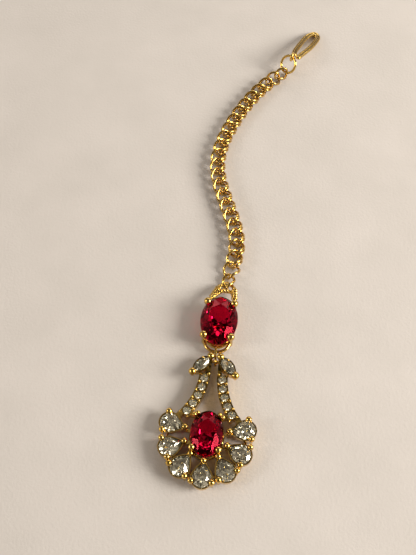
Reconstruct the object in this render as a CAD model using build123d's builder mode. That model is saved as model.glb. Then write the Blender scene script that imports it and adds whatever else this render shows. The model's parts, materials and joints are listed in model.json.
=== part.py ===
from build123d import *
import os
from math import atan2, cos, pi, radians, sin, sqrt

# A maang tikka: a forehead jewel that lies flat, face up, its pendant towards -Y and its hook towards +Y.
# The origin is the bottom centre of the whole jewel. All sizes are millimetres.

# ---- driving dimensions ----
GAP = 0.14  # between a stone, or a free ring, and the metal that holds it
LEAN = -6.5  # degrees that the pendant and the upper setting lean from +Y

# cut stones: length, width, and heights of crown, girdle and pavilion; table is a share of the outline
UPPER_RUBY = dict(length=12.0, width=8.5, crown=1.45, girdle=0.3, pavilion=3.1, table=0.57)
LOWER_RUBY = dict(length=10.0, width=7.0, crown=1.2, girdle=0.28, pavilion=2.6, table=0.57)
PEAR = dict(length=5.2, width=4.0, crown=0.75, girdle=0.2, pavilion=1.7, table=0.55)
MARQUISE = dict(length=4.7, width=2.25, crown=0.5, girdle=0.18, pavilion=1.0, table=0.5)
PAVE = dict(length=1.7, width=1.7, crown=0.32, girdle=0.1, pavilion=0.75, table=0.55)
PEAR_SIDE_RADIUS = 9.5
LOWER_HALF = 0.25  # how near the culet the pavilion's lower half facets reach, as a share of the outline

# the collets that hold the stones
RIM = 0.33  # how far a collet's wall stands outside its stone
SHELF = 0.5  # how far a collet's shelf reaches under its stone
SHELF_DROP = 0.55  # from the girdle down to the shelf
SKIRT = (0.2, 0.55)  # how far inside the stone's outline a collet's skirt has its outer and inner sides
RAIL_WIRE = 0.9  # of the oval rails that the settings stand on
RAIL_Z = 0.45

SEAT = (0.05, 0.65)  # how far inside a ruby's outline its seat has its outer and inner sides
SEAT_DROP = 0.25  # from the girdle down to the seat's top

# the upper setting; girdle heights are those of the girdle's lower edge above the floor
UPPER_AT = (-8.5, -29.094)
UPPER_GIRDLE = 3.5
UPPER_SEAT = 0.85  # from the girdle down to the seat's foot
UPPER_RAIL = (3.5, 5.2)
PRONG_AT = (3.05, 4.25)
PRONG_LEG = 1.05
PRONG_BALL = 1.8
PRONG_RISE = 0.85  # from the girdle's lower edge up to the middle of a prong's ball
LOOP_WIRE = 0.75
LOOP_Z = 1.5
LOOP_LINE = ((-3.05, -4.25), (-2.0, -6.9), (2.0, -6.9), (3.05, -4.25))  # the hanging loop
LOOP_RADIUS = 2.6
BAIL_WIRE = 0.7
BAIL_FOOT = (4.3, 3.5)  # distance from the setting's centre, and height, of the bail's feet
BAIL_SLOPE = 19.5  # degrees that the bail falls towards the chain
BAIL_LINE = ((-3.05, 0), (-0.75, 6.85), (2.45, 6.75), (3.05, 0))  # leans towards the chain's side
BAIL_RADIUS = 1.4
BAIL_EYE_AT = (0.72, 7.38)
BAIL_EYE_RADIUS = 0.385
BAIL_EYE_WIRE = 0.38

# the pendant's ruby, with its rail and its prongs
PENDANT_AT = (-11.31, -55.544)
LOWER_GIRDLE = 3.1
LOWER_SEAT = 0.9
LOWER_RAIL = (3.35, 4.55)
LOW_PRONG_AT = (2.8, -3.33)
LOW_PRONG_BALL = 1.5
HIGH_PRONG_TURN = 34  # degrees from straight up
HIGH_PRONG_REACH = 4.85
HIGH_PRONG_BALL = 1.0
HIGH_PRONG_SPREAD = 0.42  # each upper prong ends in two small balls, this far either side of its leg
LOWER_LEG = 0.9
LOWER_RISE = 0.55  # from the girdle's lower edge up to the middle of the balls
HIGH_PRONG_TOP = 0.4  # the same, up to the end of an upper prong's leg
SEAT_TIE = ((2.71, 4.02), (2.1, 3.2), 0.6)  # the bar between an upper prong and the seat
SEAT_TIE_Z = (2.2, 2.7)
LEG_FOOT = 0.45

# the fan of seven pears: degrees from straight down, and the radius of the stone's middle
PEAR_PLACES = ((-103, 7.8), (-66, 7.85), (-33, 8.25), (0, 8.6), (33, 8.25), (66, 7.85), (103, 7.8))
PEAR_GIRDLE = 2.4
PEAR_COLLET = 0.9
PEAR_SKIRT = 1.2  # depth of the skirt under a pear's collet
PEAR_BEAD = 1.4
PEAR_LEG = 0.8
PEAR_RISE = 0.55
TIP_BEAD_OUT = 0.3  # how far a tip's bead stands outside the tip
BACK_BEAD_TURN = 68  # degrees that a pear's two back beads stand from its length, about its head's centre
BACK_BEAD_REACH = 2.32
FAN_RADIUS = 8.4
FAN_WIRE = 0.5
FAN_END = 117  # degrees from straight down
SPOKE = 0.7
SPOKE_Z = (0.5, 1.2)
SPOKE_INTO = 0.9  # how far a spoke runs under its pear's tip

# the two arms with their stones, and the pin that hangs the pendant
ARM_ARC = ((1.95, 13.7), (2.82, 8.75), (5.45, 3.95))
ARM_WIDTH = 2.35
ARM_Z = (0.9, 2.75)
ARM_GIRDLE = 2.68
ARM_HOLE = 0.45  # radius of the hole behind each small stone
ARM_FOOT = ((5.95, 4.35), (6.75, 3.2), 1.2)  # from, to and width of the bar between an arm and its pear
ARM_TIE = ((2.71, 4.02), (4.9, 4.75), 0.9)  # the bar between an arm and the ruby's prong
TIE_Z = (1.0, 2.0)
STEM = ((1.3, 13.2), (1.15, 17.9), 0.95)  # the upper end of an arm
PAVE_COUNT = 5
PAVE_BEAD = 0.62
PAVE_BEAD_SIDE = 0.9
PAVE_BEAD_Z = 2.85
MARQUISE_AT = (2.85, 15.85)
MARQUISE_TURN = 42.5  # degrees between a marquise's length and straight down
MARQUISE_GIRDLE = 2.82
MARQUISE_COLLET = 1.6
TOP_BALL = (1.08, 17.9, 3.1, 1.66)  # place, height and size
OUTER_BALL = (4.75, 13.85, 2.9, 1.75)
SMALL_BALL = (2.77, 17.33, 3.0, 0.7)
BALL_LEG = 0.9
BALL_FOOT = 1.3
PIN_Y = 17.2
PIN_Z = 1.5
PIN_RADIUS = 0.38
PIN_HALF = 1.2

# the hanging ring, upright between the upper setting's loop and the pendant's pin
HANGING_AT = (-9.322, -37.202, 1.5)
HANGING_LEAN = -1.9
HANGING_WIRE = 0.55
HANGING_RADIUS = 0.925
HANGING_HALF = 1.12  # from the ring's middle to the centre of its end's bend

# the curb chain: links of two rings side by side, a plain link at either end, and a joining link next to it
DOUBLED = dict(wire=0.58, length=5.1, width=4.1, sides=(-0.43, 0.43))
JOINING = dict(wire=0.65, length=5.1, width=4.4, sides=(0,))
PLAIN = dict(wire=0.7, length=4.82, width=3.5, sides=(0,))
LINK_TWIST = 51  # degrees that each end of a link is rolled from its middle
LINK_POINTS = 8  # along half a ring
CHAIN_ROUTE = (
    (9.62, 49.576), (2.38, 42.106), (-4.52, 30.906), (-8.47, 17.006),
    (-6.37, 5.206), (-3.95, -5.8), (-6.2, -17.75),
)
LINK_COUNT = 24
ROUTE_ENDS = ((-0.766, -0.643), (-0.24, -0.971))  # the way the chain runs at either end
# kind, twist, roll and rise of the last links at either end, in degrees, the outermost first
END_LINKS = ((PLAIN, 52, 26, 4.0), (JOINING, 55, 12, 2.7), (DOUBLED, 52, 4.3, 1.3), (DOUBLED, 52.5, 2.5, 0.5))
REST_POINTS = 90  # round half a link, to find where it rests

# the hook and its ring
RING_WIRE = 0.7
RING_RADIUS = 2.33
RING_AT = (11.48, 51.356, 3.25)
RING_HEADING = 40
RING_SLOPE = 55
HOOK_HEADING = 60
HOOK_SLOPE = 16  # degrees that the hook falls from its eye to its far end
EYE_RADIUS = 0.95
EYE_WIRE = 0.7
STRAND = 0.8  # the hook is a doubled wire
STRAND_SIDE = 0.42
WEB = 0.4
HOOK_LINE = (
    (1.75, 0.2), (3.2, 0.65), (5.7, 1.0), (11.0, 1.42), (15.1, 1.1), (16.7, 0.15),
    (15.7, -1.0), (13.5, -1.6), (9.5, -1.88), (5.0, -1.68), (1.05, -1.38),
)

STANDING = (Align.CENTER, Align.CENTER, Align.MIN)


# ---- outlines, each a wire whose origin is under the stone's culet ----
def round_outline(length, width, grow=0.0):
    """A circle or an oval, its length along Y."""
    with BuildLine() as outline:
        EllipticalCenterArc((0, 0), width / 2 + grow, length / 2 + grow, arc_size=360)
    return outline.wire()


def pear_outline(length, width, grow=0.0):
    """A round head and two long arcs that meet in a tip at -Y; the origin is the head's centre."""
    head = width / 2
    reach = length - head
    side_y = (2 * PEAR_SIDE_RADIUS * head - head**2 - reach**2) / (2 * reach)
    side_x = sqrt((PEAR_SIDE_RADIUS - head) ** 2 - side_y**2)
    side = PEAR_SIDE_RADIUS + grow
    tip = (0, side_y - sqrt(side**2 - side_x**2))
    turn = atan2(-side_y, side_x)
    shoulder = ((head + grow) * cos(turn), (head + grow) * sin(turn))
    middle = (turn + atan2(tip[1] - side_y, side_x)) / 2
    flank = (side * cos(middle) - side_x, side * sin(middle) + side_y)
    with BuildLine() as outline:
        ThreePointArc(tip, flank, shoulder)
        ThreePointArc(shoulder, (0, head + grow), (-shoulder[0], shoulder[1]))
        ThreePointArc((-shoulder[0], shoulder[1]), (-flank[0], flank[1]), tip)
    return outline.wire()


def marquise_outline(length, width, grow=0.0):
    """Two equal arcs that meet in tips at +Y and -Y."""
    side = (length**2 + width**2) / (4 * width)
    side_x = side - width / 2
    tip_y = sqrt((side + grow) ** 2 - side_x**2)
    with BuildLine() as outline:
        ThreePointArc((0, -tip_y), (width / 2 + grow, 0), (0, tip_y))
        ThreePointArc((0, tip_y), (-width / 2 - grow, 0), (0, -tip_y))
    return outline.wire()


# ---- cut stones: z = 0 is the girdle's lower edge ----
def facet(first, second, third):
    """The plane through three points that faces away from the stone's middle."""
    normal = (second - first).cross(third - first).normalized()
    if normal.dot(first) < 0:
        normal = -normal
    return Plane(origin=first, z_dir=normal)


def crossing(first, second, z):
    """The point at height z where two facets cross."""
    one, two = first.z_dir, second.z_dir
    reach_one = one.dot(first.origin) - one.Z * z
    reach_two = two.dot(second.origin) - two.Z * z
    scale_xy = one.X * two.Y - one.Y * two.X
    x = (reach_one * two.Y - reach_two * one.Y) / scale_xy
    y = (one.X * reach_two - two.X * reach_one) / scale_xy
    return Vector(x, y, z)


def cut_stone(outline, table, crown, girdle, pavilion, halves=True, mains=8, **sizes):
    """A brilliant cut on any outline: mains, and with halves also star, upper half and lower half facets."""
    wire = outline(sizes["length"], sizes["width"])
    rise = Vector(0, 0, girdle)
    culet = Vector(0, 0, -pavilion)
    corners = [wire @ (number / mains) for number in range(mains)]
    middles = [wire @ ((number + 0.5) / mains) for number in range(mains)]
    tables = [corner * table + Vector(0, 0, girdle + crown) for corner in corners]
    tops, bottoms = [], []
    for number, corner in enumerate(corners):
        along = middles[number] - middles[number - 1]
        tops.append(facet(corner + rise, corner + rise + along, tables[number]))
        bottoms.append(facet(corner, corner + along, culet))
    facets = tops + bottoms
    for number in range(mains if halves else 0):
        following = (number + 1) % mains
        upper = crossing(tops[number], tops[following], girdle + crown * 0.5)
        lower = crossing(bottoms[number], bottoms[following], pavilion * (LOWER_HALF - 1))
        facets.append(facet(tables[number], tables[following], upper))
        for corner in (corners[number], corners[following]):
            facets.append(facet(corner + rise, middles[number] + rise, upper))
            facets.append(facet(corner, middles[number], lower))
    with BuildPart() as stone:
        with BuildSketch(Plane.XY.offset(-pavilion)):
            make_face(wire.edges())
        extrude(amount=pavilion + girdle + crown)
        for plane in facets:
            split(bisect_by=plane, keep=Keep.BOTTOM)
    return stone.part


def room_for(stone):
    """The space that a stone takes with the gap round it: the stone, stretched about its girdle's middle."""
    size = stone.bounding_box().size
    return scale(stone, by=(1 + 2 * GAP / size.X, 1 + 2 * GAP / size.Y, 1 + 2 * GAP / size.Z))


# ---- metal that is used more than once ----
def collet(outline, depth, skirt, length, width, girdle, **sizes):
    """A wall round a stone, a shelf and a narrower skirt under it; z = 0 is the girdle's lower edge."""
    outer = outline(length, width, RIM)
    inner = outline(length, width, GAP)
    hole = outline(length, width, -SHELF)
    with BuildPart() as cup:
        with BuildSketch(Plane.XY.offset(-depth)):
            make_face(outer.edges())
            make_face(hole.edges(), mode=Mode.SUBTRACT)
        extrude(amount=depth + girdle / 2)
        if skirt:
            with BuildSketch(Plane.XY.offset(-depth - skirt)):
                make_face(outline(length, width, -SKIRT[0]).edges())
                make_face(outline(length, width, -SKIRT[1]).edges(), mode=Mode.SUBTRACT)
            extrude(amount=skirt)
        with BuildSketch(Plane.XY.offset(-SHELF_DROP)):
            make_face(inner.edges())
        extrude(amount=SHELF_DROP + girdle, mode=Mode.SUBTRACT)
    return cup.part


def seat(outline, depth, length, width, **sizes):
    """A ring under the edge of a stone that only its prongs hold; z = 0 is the girdle's lower edge."""
    with BuildPart() as ring:
        with BuildSketch(Plane.XY.offset(-depth)):
            make_face(outline(length, width, -SEAT[0]).edges())
            make_face(outline(length, width, -SEAT[1]).edges(), mode=Mode.SUBTRACT)
        extrude(amount=depth - SEAT_DROP)
    return ring.part


def oval_rail(x_radius, y_radius, wire):
    """A ring of round wire bent to an oval about the origin."""
    with BuildPart() as rail:
        with BuildLine() as path:
            half = EllipticalCenterArc((0, 0), x_radius, y_radius, arc_size=180)
        with BuildSketch(Plane(origin=half @ 0, z_dir=half % 0)):
            Circle(wire / 2)
        sweep()
        mirror(about=Plane.XZ)
    return rail.part


def leaning(x, y, turn):
    """The floor's plane about a point, turned."""
    return Plane(origin=(x, y, 0), x_dir=(cos(radians(turn)), sin(radians(turn)), 0), z_dir=(0, 0, 1))


def sloping(plane, x, y, z, slope):
    """A plane through a point of another plane's frame, that falls along its own Y by an angle."""
    up = plane.z_dir * cos(radians(slope)) + plane.y_dir * sin(radians(slope))
    return Plane(origin=plane.from_local_coords((x, y, z)), x_dir=plane.x_dir, z_dir=up)


def wire_along(path, wire):
    """Sweeps a round wire along a path, inside the part that is being built."""
    with BuildSketch(Plane(origin=path @ 0, z_dir=path % 0)) as section:
        Circle(wire / 2)
    sweep(section.sketch, path=path)


def save(part, name):
    part.label = name
    export_step(part, f"parts/{name}.step")


os.makedirs("parts", exist_ok=True)
upper_ruby_cut = cut_stone(round_outline, **UPPER_RUBY)
lower_ruby_cut = cut_stone(round_outline, **LOWER_RUBY)
pear_cut = cut_stone(pear_outline, **PEAR)
marquise_cut = cut_stone(marquise_outline, **MARQUISE)
pave_cut = cut_stone(round_outline, halves=False, **PAVE)
upper_room = room_for(upper_ruby_cut)

# ---- the upper setting and its ruby ----
upper = leaning(*UPPER_AT, LEAN)
upper_seat = seat(round_outline, UPPER_SEAT, **UPPER_RUBY)
upper_rail = oval_rail(*UPPER_RAIL, RAIL_WIRE)
bail_plane = sloping(upper, 0, *BAIL_FOOT, BAIL_SLOPE)
with BuildPart(upper) as upper_setting:
    with Locations((0, 0, UPPER_GIRDLE)):
        add(upper_seat)
    with Locations((0, 0, RAIL_Z)):
        add(upper_rail)
    for side_x in (-PRONG_AT[0], PRONG_AT[0]):
        for side_y in (-PRONG_AT[1], PRONG_AT[1]):
            with Locations((side_x, side_y, PRONG_LEG / 2)):
                Sphere(PRONG_LEG / 2)
                Cylinder(PRONG_LEG / 2, UPPER_GIRDLE + PRONG_RISE - PRONG_LEG / 2, align=STANDING)
            with Locations((side_x, side_y, UPPER_GIRDLE + PRONG_RISE)):
                Sphere(PRONG_BALL / 2)
    with BuildLine(upper.offset(LOOP_Z)):
        loop = FilletPolyline(*LOOP_LINE, radius=LOOP_RADIUS)
    wire_along(loop, LOOP_WIRE)
    with BuildLine(bail_plane):
        arch = FilletPolyline(*BAIL_LINE, radius=BAIL_RADIUS)
    wire_along(arch, BAIL_WIRE)
    eye_x, eye_y = BAIL_EYE_AT
    eye_side = bail_plane.from_local_coords((eye_x + BAIL_EYE_RADIUS, eye_y, 0))
    with BuildSketch(Plane(origin=eye_side, x_dir=bail_plane.x_dir, z_dir=bail_plane.y_dir)) as eye_wire:
        Circle(BAIL_EYE_WIRE / 2)
    revolve(eye_wire.sketch, axis=Axis(bail_plane.from_local_coords((eye_x, eye_y, 0)), bail_plane.z_dir))
    with Locations((0, 0, UPPER_GIRDLE)):
        add(upper_room, mode=Mode.SUBTRACT)
save(upper_setting.part, "upper_setting")

with BuildPart(upper) as upper_ruby:
    with Locations((0, 0, UPPER_GIRDLE)):
        add(upper_ruby_cut)
save(upper_ruby.part, "upper_ruby")


# ---- the pendant's parts ----
def oval_reach(x_radius, y_radius, angle):
    """How far an oval reaches from its centre, at an angle from straight down."""
    return 1 / sqrt((sin(angle) / x_radius) ** 2 + (cos(angle) / y_radius) ** 2)


def claw(x, y, z, ball, leg, foot):
    """A round leg that stands on a height and ends in a ball, inside the part that is being built."""
    with Locations((x, y, z)):
        Sphere(ball / 2)
    with Locations((x, y, foot)):
        Cylinder(leg / 2, z - foot, align=STANDING)


def bar(plane, start, end, width, heights):
    """A flat bar between two points of a plane, inside the part that is being built."""
    with BuildSketch(plane.offset(heights[0])) as face:
        with BuildLine():
            Line(start, end)
        trace(line_width=width)
    extrude(face.sketch, amount=heights[1] - heights[0])


def mirrored(point):
    return (-point[0], point[1])


pendant = leaning(*PENDANT_AT, LEAN)
lower_seat = seat(round_outline, LOWER_SEAT, **LOWER_RUBY)
lower_rail = oval_rail(*LOWER_RAIL, RAIL_WIRE)
lower_room = room_for(lower_ruby_cut)
pear_collet = collet(pear_outline, PEAR_COLLET, PEAR_SKIRT, **PEAR)
pear_room = room_for(pear_cut)
marquise_collet = collet(marquise_outline, MARQUISE_COLLET, 0, **MARQUISE)
marquise_room = room_for(marquise_cut)
pave_room = room_for(pave_cut)

head_out = (PEAR["length"] - PEAR["width"]) / 2
tip_reach = PEAR["length"] - PEAR["width"] / 2
pear_seats = []
for angle, radius in PEAR_PLACES:
    turn = radians(angle)
    head = radius + head_out
    pear_seats.append(Location((head * sin(turn), -head * cos(turn), PEAR_GIRDLE), (0, 0, angle + 180)))
marquise_seats = [
    Location((side * MARQUISE_AT[0], MARQUISE_AT[1], MARQUISE_GIRDLE), (0, 0, side * MARQUISE_TURN))
    for side in (-1, 1)
]
with BuildLine() as arm_line:
    arm_arc = ThreePointArc(*ARM_ARC)
pave_spots = [arm_arc @ ((number + 0.5) / PAVE_COUNT) for number in range(PAVE_COUNT)]

with BuildPart(pendant) as pendant_frame:
    with Locations((0, 0, LOWER_GIRDLE)):
        add(lower_seat)
    with Locations((0, 0, RAIL_Z)):
        add(lower_rail)
    with Locations(*pear_seats):
        add(pear_collet)
        claw(0, -tip_reach - TIP_BEAD_OUT, PEAR_RISE, PEAR_BEAD, PEAR_LEG, LEG_FOOT - PEAR_GIRDLE)
        for side in (-1, 1):
            back = radians(side * BACK_BEAD_TURN)
            claw(
                BACK_BEAD_REACH * sin(back), BACK_BEAD_REACH * cos(back), PEAR_RISE,
                PEAR_BEAD, PEAR_LEG, LEG_FOOT - PEAR_GIRDLE,
            )
    end = radians(FAN_END)
    with BuildLine(pendant.offset(FAN_WIRE / 2)):
        fan = ThreePointArc(
            (-FAN_RADIUS * sin(end), -FAN_RADIUS * cos(end)), (0, -FAN_RADIUS),
            (FAN_RADIUS * sin(end), -FAN_RADIUS * cos(end)),
        )
    wire_along(fan, FAN_WIRE)
    for angle, radius in PEAR_PLACES:
        turn = radians(angle)
        near = oval_reach(*LOWER_RAIL, turn)
        far = radius - PEAR["length"] / 2 + SPOKE_INTO
        bar(
            pendant, (near * sin(turn), -near * cos(turn)), (far * sin(turn), -far * cos(turn)),
            SPOKE, SPOKE_Z,
        )
    with BuildSketch(pendant.offset(ARM_Z[0])):
        with BuildLine():
            ThreePointArc(*ARM_ARC)
        trace(line_width=ARM_WIDTH)
        with BuildLine():
            Line(STEM[0], STEM[1])
        trace(line_width=STEM[2])
        with BuildLine():
            Line(ARM_FOOT[0], ARM_FOOT[1])
        trace(line_width=ARM_FOOT[2])
        mirror(about=Plane.YZ)
    extrude(amount=ARM_Z[1] - ARM_Z[0])
    bar(pendant, ARM_TIE[0], ARM_TIE[1], ARM_TIE[2], TIE_Z)
    bar(pendant, mirrored(ARM_TIE[0]), mirrored(ARM_TIE[1]), ARM_TIE[2], TIE_Z)
    bar(pendant, SEAT_TIE[0], SEAT_TIE[1], SEAT_TIE[2], SEAT_TIE_Z)
    bar(pendant, mirrored(SEAT_TIE[0]), mirrored(SEAT_TIE[1]), SEAT_TIE[2], SEAT_TIE_Z)
    with Locations(*marquise_seats):
        add(marquise_collet)
    with Locations((0, PIN_Y, PIN_Z)):
        Cylinder(PIN_RADIUS, 2 * PIN_HALF, rotation=(0, 90, 0))
    for side in (-1, 1):
        x, y = LOW_PRONG_AT
        claw(side * x, y, LOWER_GIRDLE + LOWER_RISE, LOW_PRONG_BALL, LOWER_LEG, LEG_FOOT)
        across, up = sin(radians(HIGH_PRONG_TURN)), cos(radians(HIGH_PRONG_TURN))
        with Locations((side * HIGH_PRONG_REACH * across, HIGH_PRONG_REACH * up, LEG_FOOT)):
            Cylinder(LOWER_LEG / 2, LOWER_GIRDLE + HIGH_PRONG_TOP - LEG_FOOT, align=STANDING)
        for spread in (-HIGH_PRONG_SPREAD, HIGH_PRONG_SPREAD):
            x = HIGH_PRONG_REACH * across + spread * up
            y = HIGH_PRONG_REACH * up - spread * across
            with Locations((side * x, y, LOWER_GIRDLE + LOWER_RISE)):
                Sphere(HIGH_PRONG_BALL / 2)
        for x, y, z, ball in (TOP_BALL, OUTER_BALL):
            claw(side * x, y, z, ball, BALL_LEG, BALL_FOOT)
        x, y, z, ball = SMALL_BALL
        with Locations((side * x, y, z)):
            Sphere(ball / 2)
        for number in range(PAVE_COUNT + 1):
            spot = arm_arc @ (number / PAVE_COUNT)
            along = arm_arc % (number / PAVE_COUNT)
            for across in (-PAVE_BEAD_SIDE, PAVE_BEAD_SIDE):
                with Locations((side * (spot.X + across * along.Y), spot.Y - across * along.X, PAVE_BEAD_Z)):
                    Sphere(PAVE_BEAD / 2)
        for spot in pave_spots:
            with Locations((side * spot.X, spot.Y, ARM_Z[0])):
                Cylinder(ARM_HOLE, ARM_GIRDLE - ARM_Z[0], align=STANDING, mode=Mode.SUBTRACT)
            with Locations((side * spot.X, spot.Y, ARM_GIRDLE)):
                add(pave_room, mode=Mode.SUBTRACT)
    with Locations((0, 0, LOWER_GIRDLE)):
        add(lower_room, mode=Mode.SUBTRACT)
    with Locations(*pear_seats):
        add(pear_room, mode=Mode.SUBTRACT)
    with Locations(*marquise_seats):
        add(marquise_room, mode=Mode.SUBTRACT)
save(pendant_frame.part, "pendant_frame")

with BuildPart(pendant) as lower_ruby:
    with Locations((0, 0, LOWER_GIRDLE)):
        add(lower_ruby_cut)
save(lower_ruby.part, "lower_ruby")

for number, seat in enumerate(pear_seats):
    with BuildPart(pendant) as pear_stone:
        with Locations(seat):
            add(pear_cut)
    save(pear_stone.part, f"pear_stone_{number + 1}")

for side, seat, name in zip((-1, 1), marquise_seats, ("left", "right")):
    with BuildPart(pendant) as marquise_stone:
        with Locations(seat):
            add(marquise_cut)
    save(marquise_stone.part, f"marquise_{name}")
    with BuildPart(pendant) as pave_stones:
        for spot in pave_spots:
            with Locations((side * spot.X, spot.Y, ARM_GIRDLE)):
                add(pave_cut)
    save(pave_stones.part, f"pave_{name}")

# ---- the hanging ring ----
ring_floor = leaning(*HANGING_AT[:2], HANGING_LEAN)
upright = Plane(
    origin=ring_floor.from_local_coords((0, 0, HANGING_AT[2])), x_dir=ring_floor.y_dir, z_dir=ring_floor.x_dir
)
with BuildPart() as hanging_ring:
    with BuildLine(upright):
        straight = Line((-HANGING_HALF, HANGING_RADIUS), (HANGING_HALF, HANGING_RADIUS))
        bend = CenterArc((HANGING_HALF, 0), HANGING_RADIUS, 90, -180)
        back_way = Line((HANGING_HALF, -HANGING_RADIUS), (-HANGING_HALF, -HANGING_RADIUS))
        far_bend = CenterArc((-HANGING_HALF, 0), HANGING_RADIUS, 270, -180)
    with BuildSketch(Plane(origin=straight @ 0, z_dir=straight % 0)):
        Circle(HANGING_WIRE / 2)
    sweep()
save(hanging_ring.part, "hanging_ring")


# ---- the chain ----
def link_point(kind, side, turn, twist):
    """A point of a ring's middle line; the link lies along X, and its ends are rolled apart by a twist."""
    along = (kind["length"] - kind["wire"]) / 2 * cos(turn)
    out = (kind["width"] - kind["wire"]) / 2 * sin(turn)
    tilt = radians(twist) * cos(turn)
    return (along, out * cos(tilt) - side * sin(tilt), out * sin(tilt) + side * cos(tilt))


def curb_ring(kind, side, twist):
    """A closed ring of round wire: half of it is swept, and the other half is the same, turned."""
    end = radians(twist)
    turns = [pi * step / LINK_POINTS for step in range(LINK_POINTS + 1)]
    with BuildPart() as half_ring:
        with BuildLine() as path:
            Spline(
                *[link_point(kind, side, turn, twist) for turn in turns],
                tangents=[(0, cos(end), sin(end)), (0, -cos(end), sin(end))],
                tangent_scalars=(1.0, 1.0),
            )
        with BuildSketch(Plane(origin=path.line @ 0, z_dir=path.line % 0)):
            Circle(kind["wire"] / 2)
        sweep()
        add(half_ring.part.rotate(Axis.Z, 180))
    return half_ring.part


def lying_link(place, heading, kind, twist, roll, rise):
    """The plane of a link that lies on the floor, its axis rising and its middle rolled by some degrees."""
    slope = radians(rise)
    along = Vector(heading.X * cos(slope), heading.Y * cos(slope), sin(slope))
    across = Vector(-heading.Y, heading.X, 0)
    up = along.cross(across) * cos(radians(roll)) - across * sin(radians(roll))
    on_floor = Plane(origin=(place.X, place.Y, 0), x_dir=along, z_dir=up)
    turns = [pi * step / REST_POINTS for step in range(2 * REST_POINTS)]
    spots = [link_point(kind, side, turn, twist) for side in kind["sides"] for turn in turns]
    low = min(on_floor.from_local_coords(spot).Z for spot in spots)
    return Plane(origin=(place.X, place.Y, kind["wire"] / 2 - low), x_dir=along, z_dir=up)


with BuildLine() as route:
    Spline(*CHAIN_ROUTE, tangents=ROUTE_ENDS)
poses = [(DOUBLED, LINK_TWIST, 0, 0)] * LINK_COUNT
for number, (kind, twist, roll, rise) in enumerate(END_LINKS):
    poses[number] = (kind, twist, -roll, -rise)
    poses[-1 - number] = (kind, twist, roll, rise)
made_links = {}
for number, (kind, twist, roll, rise) in enumerate(poses):
    if (kind["wire"], twist) not in made_links:
        made_links[kind["wire"], twist] = [curb_ring(kind, side, twist) for side in kind["sides"]]
    share = number / (LINK_COUNT - 1)
    place, heading = route.edge() @ share, route.edge() % share
    with BuildPart(lying_link(place, heading, kind, twist, roll, rise)) as chain_link:
        for ring in made_links[kind["wire"], twist]:
            add(ring)
    save(chain_link.part, f"chain_link_{number + 1:02d}")

# ---- the hook's ring, which slopes up from the chain to the hook ----
ring_side = leaning(*RING_AT[:2], RING_HEADING - 90)
ring_plane = sloping(ring_side, 0, 0, RING_AT[2], -RING_SLOPE)
with BuildPart(ring_plane) as hook_ring:
    Torus(RING_RADIUS, RING_WIRE / 2)
save(hook_ring.part, "hook_ring")

# ---- the hook: an upright eye, then a doubled wire bent to a long narrow hook ----
eye_at = ring_plane.from_local_coords((0, RING_RADIUS, 0))
hook_side = leaning(eye_at.X, eye_at.Y, HOOK_HEADING - 90)
hook_plane = sloping(hook_side, 0, 0, eye_at.Z, HOOK_SLOPE)
with BuildPart(hook_plane) as hook:
    Torus(EYE_RADIUS, EYE_WIRE / 2, rotation=(0, 90, 0))
    with BuildLine(hook_plane):
        line = Spline(*[(-left, ahead) for ahead, left in HOOK_LINE])
    with BuildSketch(Plane(origin=line @ 0, x_dir=hook_plane.z_dir, z_dir=line % 0)) as doubled:
        with Locations((0, -STRAND_SIDE), (0, STRAND_SIDE)):
            Circle(STRAND / 2)
        Rectangle(WEB, 2 * STRAND_SIDE)
    sweep(doubled.sketch, path=line)
    for share, way in ((0, -1), (1, 1)):
        ahead = (line % share) * way
        across = ahead.cross(hook_plane.z_dir)
        with BuildSketch(Plane(origin=line @ share, x_dir=across, z_dir=ahead)) as turn_back:
            with Locations((STRAND_SIDE, 0)):
                Circle(STRAND / 2)
            with Locations((STRAND_SIDE / 2, 0)):
                Rectangle(STRAND_SIDE, WEB)
        revolve(turn_back.sketch, axis=Axis(line @ share, hook_plane.z_dir), revolution_arc=180)
save(hook.part, "hook")
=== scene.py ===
import json
from math import acos, cos, pi, radians, sin, tan

import bpy
from mathutils import Matrix, Vector


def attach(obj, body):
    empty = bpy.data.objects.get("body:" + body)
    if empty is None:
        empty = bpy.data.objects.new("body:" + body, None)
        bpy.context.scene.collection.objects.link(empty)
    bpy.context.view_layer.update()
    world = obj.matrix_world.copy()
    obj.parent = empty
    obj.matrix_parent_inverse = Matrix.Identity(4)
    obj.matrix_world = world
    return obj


# The looks of a maang tikka: gold wire and castings, two rubies, and clear cut stones.
# The bail, the ropes and the view are in millimetres in the jewel's frame, and MM turns them
# into metres. The floor, the lamps and the heights of bumps are in metres.
MM = 0.001

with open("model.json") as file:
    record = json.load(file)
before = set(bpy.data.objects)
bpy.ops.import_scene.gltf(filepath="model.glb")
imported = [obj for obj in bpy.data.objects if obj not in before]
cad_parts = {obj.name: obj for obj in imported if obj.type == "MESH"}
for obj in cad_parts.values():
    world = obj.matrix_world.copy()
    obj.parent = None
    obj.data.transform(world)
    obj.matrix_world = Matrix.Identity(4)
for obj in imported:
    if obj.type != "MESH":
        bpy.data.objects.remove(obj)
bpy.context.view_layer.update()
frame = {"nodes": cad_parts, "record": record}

# ---- the bail, with the sizes that it has in the part's source ----
UPPER_AT = Vector((-8.5, -29.094, 0))  # the upper setting's middle, and how far it is turned
LEAN = radians(-6.5)
BAIL_FOOT = (4.3, 3.5)  # how far the feet are ahead of that middle, and how high
BAIL_SLOPE = radians(19.5)
BAIL_LINE = ((-3.05, 0), (-0.75, 6.85), (2.45, 6.75), (3.05, 0))
BAIL_BEND = 1.4

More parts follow.
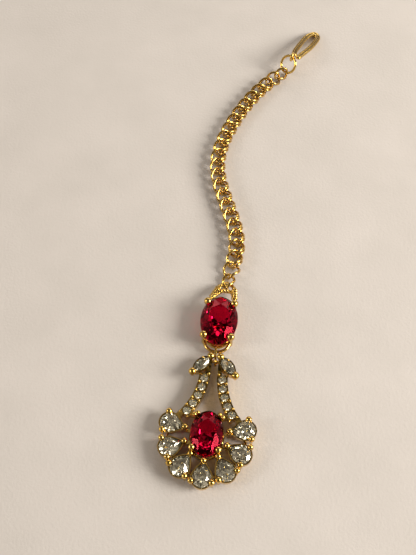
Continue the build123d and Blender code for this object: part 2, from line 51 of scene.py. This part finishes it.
# ---- the rope round the bail, and the thinner one that arches inside it ----
ROPE_STRANDS = 2
ROPE_STRAND = 0.33  # radius of each strand round the bail
ROPE_OUT = 0.42  # how far a strand's middle is from the bail's middle
ROPE_TURNS = 9.0
ROPE_STEPS = 361  # points along the bail, and how many of them stay bare at each foot
ROPE_BARE = 13
ROPE_TOP = 0.62  # the rope's size under the chain's last link, as a share of its full size
ROPE_TOP_AT = 0.52  # where that is along the rope, and half its length, as shares
ROPE_TOP_HALF = 0.13
ROPE_FOOT = 0.5  # its size at the feet, which stand close to the ruby, and how far that goes
ROPE_FOOT_END = 0.05
ROPE_EASE = 0.05  # the share of its length over which it grows from thin to full
ARCH_LINE = ((-2.3, 1.9), (-0.45, 4.5), (1.9, 4.5), (2.75, 2.9))
ARCH_BEND = 0.9
ARCH_STEPS = 181
ARCH_SIZE = 0.72
ARCH_TURNS = 5.0
BEND_STEP = radians(6)  # the longest step round a corner
WIRE_ROUNDNESS = 3

# ---- finishes ----
GOLD_TONE = 900  # scales of the noises in the gold's colour and in its ripples
GOLD_RIPPLE = 1400
RIPPLE_HEIGHT = 0.00006
STONE_TONE = 500
STONE_PALER = (1.12, 0.004)  # a stone's palest tone is its colour times and plus these
FLOOR_TONES = ((0.3, (0.64, 0.595, 0.545)), (0.7, (0.69, 0.64, 0.59)))
FLOOR_CLOUD = 60  # scales of the noises in the floor's colour and in its grain
FLOOR_GRAIN = 1500
GRAIN_HEIGHT = 0.00012
BUMP_STRENGTH = 0.5
ROUND_BELOW = radians(32)  # metal is shaded round where it bends by less than this

# ---- the floor and the view, from 60 degrees above it ----
FLOOR_SIZE = 3.0
FLOOR_DROP = 0.00002  # how far it is under the jewel
VIEW_UP = radians(60)
VIEW_AT = Vector((-11.02, -15.794, 0))
VIEW_DISTANCE = 182.9
LENS = 49.43
NEAREST, FARTHEST = 0.01, 10

# ---- the lamps, which all face the origin ----
LAMPS = (
    dict(name="key", place=(0.645, -0.15, 0.355), size=(0.34, 0.34), power=7.9, colour=(1.0, 0.955, 0.9)),
    dict(name="fill", place=(-0.645, -0.15, 0.355), size=(0.16, 0.16), power=1.2, colour=(1.0, 0.95, 0.9)),
    dict(name="back", place=(0.12, 0.63, 0.35), size=(0.7, 0.26), power=1.5, colour=(1.0, 0.96, 0.9)),
)

# ---- the room: dark overhead, from front to back, and bright at both sides, in soft patches ----
DARK_ROOM = (0.17, 0.152, 0.135)
SIDE_ROOM = (0.42, 0.38, 0.34)
FAR_ROOM = (0.6, 0.55, 0.49)
ROOM_SIDEWAYS = ((0.0, DARK_ROOM), (0.26, DARK_ROOM), (0.5, SIDE_ROOM), (1.0, FAR_ROOM))
PATCH_SCALE = 5.5
PATCHES = ((0.44, (0.04, 0.034, 0.03)), (0.56, (1.0, 1.0, 1.0)))
HORIZON = (0.55, 0.54, 0.53)  # in place of the patches, where a low view sees past the floor
HORIZON_FADE = ((0.12, (0, 0, 0)), (0.32, (1, 1, 1)))  # the patches' share, by height
ROOM_STRENGTH = 1.6


# ---- node materials ----
def material(name):
    """A new node material, its surface shader, and its node tree."""
    made = bpy.data.materials.new(name)
    made.use_nodes = True
    return made, made.node_tree.nodes["Principled BSDF"], made.node_tree


def tune(node, settings):
    """Sets a node's inputs by their names."""
    for name, value in settings.items():
        node.inputs[name].default_value = value


def noise_in(tree, space, scale, detail):
    """A noise that follows one of the texture coordinates."""
    place = tree.nodes.new("ShaderNodeTexCoord")
    noise = tree.nodes.new("ShaderNodeTexNoise")
    tune(noise, {"Scale": scale, "Detail": detail})
    tree.links.new(place.outputs[space], noise.inputs["Vector"])
    return noise.outputs["Fac"]


def noise_on(tree, scale, detail=2.0):
    """A noise that stays on the object."""
    return noise_in(tree, "Object", scale, detail)


def bump(tree, shader, height, distance):
    """Raises the shader's surface by a height."""
    node = tree.nodes.new("ShaderNodeBump")
    tune(node, {"Distance": distance, "Strength": BUMP_STRENGTH})
    tree.links.new(height, node.inputs["Height"])
    tree.links.new(node.outputs["Normal"], shader.inputs["Normal"])


def ramp(tree, source, stops):
    """A colour that follows a value from stop to stop."""
    node = tree.nodes.new("ShaderNodeValToRGB")
    while len(node.color_ramp.elements) < len(stops):
        node.color_ramp.elements.new(0.5)
    for element, (at, colour) in zip(node.color_ramp.elements, stops):
        element.position = at
        element.color = (*colour, 1)
    tree.links.new(source, node.inputs["Fac"])
    return node.outputs["Color"]


def gold(name, rough, light, dark):
    """Polished yellow gold that is a little uneven."""
    made, shader, tree = material(name)
    colour = ramp(tree, noise_on(tree, GOLD_TONE), ((0.35, dark), (0.65, light)))
    tree.links.new(colour, shader.inputs["Base Color"])
    tune(shader, {"Metallic": 1.0, "Roughness": rough})
    tune(shader, {"Coat Weight": 0.7, "Coat Roughness": 0.08, "Coat IOR": 1.6})
    bump(tree, shader, noise_on(tree, GOLD_RIPPLE), RIPPLE_HEIGHT)
    return made


def cut_glass(name, colour, bend, through, sheen):
    """A clear cut stone with tinted reflections; its facets come from its shape."""
    made, shader, tree = material(name)
    times, plus = STONE_PALER
    pale = tuple(min(1.0, channel * times + plus) for channel in colour)
    tint = ramp(tree, noise_on(tree, STONE_TONE), ((0.3, colour), (0.7, pale)))
    tree.links.new(tint, shader.inputs["Base Color"])
    tune(shader, {"Roughness": 0.0, "Transmission Weight": through, "IOR": bend})
    tune(shader, {"Specular Tint": (*sheen, 1)})
    return made


def floor_material():
    """Pale, slightly rough paper or plaster."""
    made, shader, tree = material("floor_pale")
    colour = ramp(tree, noise_on(tree, FLOOR_CLOUD, 4), FLOOR_TONES)
    tree.links.new(colour, shader.inputs["Base Color"])
    tune(shader, {"Roughness": 0.9, "Specular IOR Level": 0.2})
    bump(tree, shader, noise_on(tree, FLOOR_GRAIN, 5), GRAIN_HEIGHT)
    return made


gold_bright = gold("gold_bright", 0.11, (0.7, 0.45, 0.09), (0.6, 0.37, 0.06))
gold_chain = gold("gold_chain", 0.13, (0.68, 0.43, 0.085), (0.56, 0.34, 0.055))
ruby_red = cut_glass("ruby_red", (0.52, 0.001, 0.024), 1.77, 1.0, (0.4, 0.008, 0.03))
clear_cut = cut_glass("clear_cut", (1.0, 0.88, 0.65), 2.12, 0.955, (1.0, 0.93, 0.8))
FINISHES = {"gold": gold_bright, "ruby": ruby_red, "clear_stone": clear_cut}


# ---- the part's own solids ----
def dress(name, node, slot):
    """Gives a solid its finish: metal is shaded round, and stones keep their flat facets."""
    node.data.materials.clear()
    node.data.materials.append(gold_chain if name.startswith("chain_link") else FINISHES[slot])
    for face in node.data.polygons:
        face.use_smooth = slot == "gold"
    if slot == "gold":
        node.data.set_sharp_from_angle(angle=ROUND_BELOW)


slots = {entry["node"]: entry["material_slot"] for entry in frame["record"]["subparts"]}
for name, node in frame["nodes"].items():
    dress(name, node, slots[name])


# ---- the ropes ----
def rounded(points, radius):
    """A line through points whose inner corners are rounded."""
    line = [Vector(points[0])]
    for before, corner, after in zip(points, points[1:], points[2:]):
        corner = Vector(corner)
        back = (Vector(before) - corner).normalized()
        on = (Vector(after) - corner).normalized()
        half = acos(back.dot(on)) / 2
        centre = corner + (back + on).normalized() * (radius / sin(half))
        first = corner + back * (radius / tan(half)) - centre
        turn = pi - 2 * half
        way = -1 if back.cross(on) > 0 else 1
        steps = int(turn / BEND_STEP) + 1
        for number in range(steps + 1):
            line.append(centre + Matrix.Rotation(way * turn * number / steps, 2) @ first)
    line.append(Vector(points[-1]))
    return line


def evenly(line, count):
    """Points at even steps along a line."""
    reach = [0.0]
    for one, two in zip(line, line[1:]):
        reach.append(reach[-1] + (two - one).length)
    points = []
    at = 0
    for number in range(count):
        target = reach[-1] * number / (count - 1)
        while at < len(line) - 2 and reach[at + 1] < target:
            at += 1
        share = (target - reach[at]) / (reach[at + 1] - reach[at])
        points.append(line[at].lerp(line[at + 1], share))
    return points


turned = Matrix.Rotation(LEAN, 3, "Z")
bail_side = turned @ Vector((1, 0, 0))
bail_ahead = turned @ Vector((0, cos(BAIL_SLOPE), -sin(BAIL_SLOPE)))
bail_up = bail_side.cross(bail_ahead)
bail_foot = UPPER_AT + turned @ Vector((0, *BAIL_FOOT))


def on_bail(point, up):
    """From a point of the bail's own plane, and a height above it, to the jewel's frame."""
    return bail_foot + bail_side * point[0] + bail_ahead * point[1] + bail_up * up


def wire_piece(name, points, radii, finish):
    """A round wire along points, as a curve piece of the jewel, with a radius for each point."""
    curve = bpy.data.curves.new(name, "CURVE")
    curve.dimensions = "3D"
    curve.bevel_depth = MM
    curve.bevel_resolution = WIRE_ROUNDNESS
    curve.use_fill_caps = True
    spline = curve.splines.new("POLY")
    spline.points.add(len(points) - 1)
    spline.use_smooth = True
    for spot, point, radius in zip(spline.points, points, radii):
        spot.co = (*(point * MM), 1)
        spot.radius = radius
    curve.materials.append(finish)
    piece = bpy.data.objects.new(name, curve)
    bpy.context.collection.objects.link(piece)
    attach(piece, "root")


def growth(distance):
    """From 0 where a rope is thin to 1 where it is full, by how far it is past its thin part."""
    return min(1.0, max(0.0, distance / ROPE_EASE))


def rope_size(share):
    """The rope's size along the bail: smaller at the feet and where the chain's last link passes."""
    at_link = ROPE_TOP + (1 - ROPE_TOP) * growth(abs(share - ROPE_TOP_AT) - ROPE_TOP_HALF)
    at_foot = ROPE_FOOT + (1 - ROPE_FOOT) * growth(min(share, 1 - share) - ROPE_FOOT_END)
    return min(at_link, at_foot)


def arch_size(share):
    """The inner rope has one size all along."""
    return ARCH_SIZE


def rope(name, line, turns, size_at):
    """Strands that wind round a line of the bail's plane; their size follows the share of its length."""
    last = len(line) - 1
    for strand in range(ROPE_STRANDS):
        coil, radii = [], []
        for number, point in enumerate(line):
            share = number / last
            along = (line[min(number + 1, last)] - line[max(number - 1, 0)]).normalized()
            out = Vector((along.y, -along.x))
            reach = ROPE_OUT * size_at(share)
            angle = 2 * pi * (turns * share + strand / ROPE_STRANDS)
            coil.append(on_bail(point + out * reach * cos(angle), reach * sin(angle)))
            radii.append(ROPE_STRAND * size_at(share))
        wire_piece(f"{name}_{strand + 1}", coil, radii, gold_bright)


bail_line = evenly(rounded(BAIL_LINE, BAIL_BEND), ROPE_STEPS)[ROPE_BARE:-ROPE_BARE]
arch_line = evenly(rounded(ARCH_LINE, ARCH_BEND), ARCH_STEPS)
rope("bail_rope", bail_line, ROPE_TURNS, rope_size)
rope("arch_rope", arch_line, ARCH_TURNS, arch_size)

# ---- the floor, the light and the camera: not part of the jewel ----
bpy.ops.mesh.primitive_plane_add(size=FLOOR_SIZE, location=(0, 0, -FLOOR_DROP))
floor = bpy.context.object
floor.name = "floor"
floor.data.materials.append(floor_material())


def area_light(name, place, size, power, colour):
    """A soft rectangular lamp that faces the origin."""
    lamp = bpy.data.lights.new(name, "AREA")
    lamp.shape = "RECTANGLE"
    lamp.size, lamp.size_y = size
    lamp.energy = power
    lamp.color = colour
    holder = bpy.data.objects.new(name, lamp)
    holder.location = place
    holder.rotation_euler = (-Vector(place)).to_track_quat("-Z", "Y").to_euler()
    bpy.context.collection.objects.link(holder)


for lamp_row in LAMPS:
    area_light(**lamp_row)


def patches_and_horizon(tree, height):
    """Soft patches of light and dark, which fade into one tone at the horizon."""
    faded = tree.nodes.new("ShaderNodeMix")
    faded.data_type = "RGBA"
    tree.links.new(ramp(tree, height, HORIZON_FADE), faded.inputs["Factor"])
    faded.inputs["A"].default_value = (*HORIZON, 1)
    noise = noise_in(tree, "Generated", PATCH_SCALE, 0.0)
    tree.links.new(ramp(tree, noise, PATCHES), faded.inputs["B"])
    return faded.outputs["Result"]


def studio_world():
    """The room's light: a tone that goes by how far sideways it comes from, times the patches."""
    world = bpy.data.worlds.new("studio")
    bpy.context.scene.world = world
    world.use_nodes = True
    tree = world.node_tree
    place = tree.nodes.new("ShaderNodeTexCoord")
    parts = tree.nodes.new("ShaderNodeSeparateXYZ")
    tree.links.new(place.outputs["Generated"], parts.inputs["Vector"])
    sideways = tree.nodes.new("ShaderNodeMath")
    sideways.operation = "ABSOLUTE"
    tree.links.new(parts.outputs["X"], sideways.inputs[0])
    light = tree.nodes.new("ShaderNodeVectorMath")
    light.operation = "MULTIPLY"
    tree.links.new(ramp(tree, sideways.outputs["Value"], ROOM_SIDEWAYS), light.inputs[0])
    tree.links.new(patches_and_horizon(tree, parts.outputs["Z"]), light.inputs[1])
    background = tree.nodes["Background"]
    tree.links.new(light.outputs["Vector"], background.inputs["Color"])
    background.inputs["Strength"].default_value = ROOM_STRENGTH


def look_down():
    """A camera at the photo's angle above the floor."""
    view = bpy.data.cameras.new("view")
    view.lens = LENS
    view.clip_start, view.clip_end = NEAREST, FARTHEST
    camera = bpy.data.objects.new("view", view)
    toward_camera = Vector((0, -cos(VIEW_UP), sin(VIEW_UP)))
    camera.location = (VIEW_AT + toward_camera * VIEW_DISTANCE) * MM
    camera.rotation_euler = (pi / 2 - VIEW_UP, 0, 0)
    bpy.context.collection.objects.link(camera)
    bpy.context.scene.camera = camera


studio_world()
look_down()
bpy.context.scene.view_settings.view_transform = "Standard"
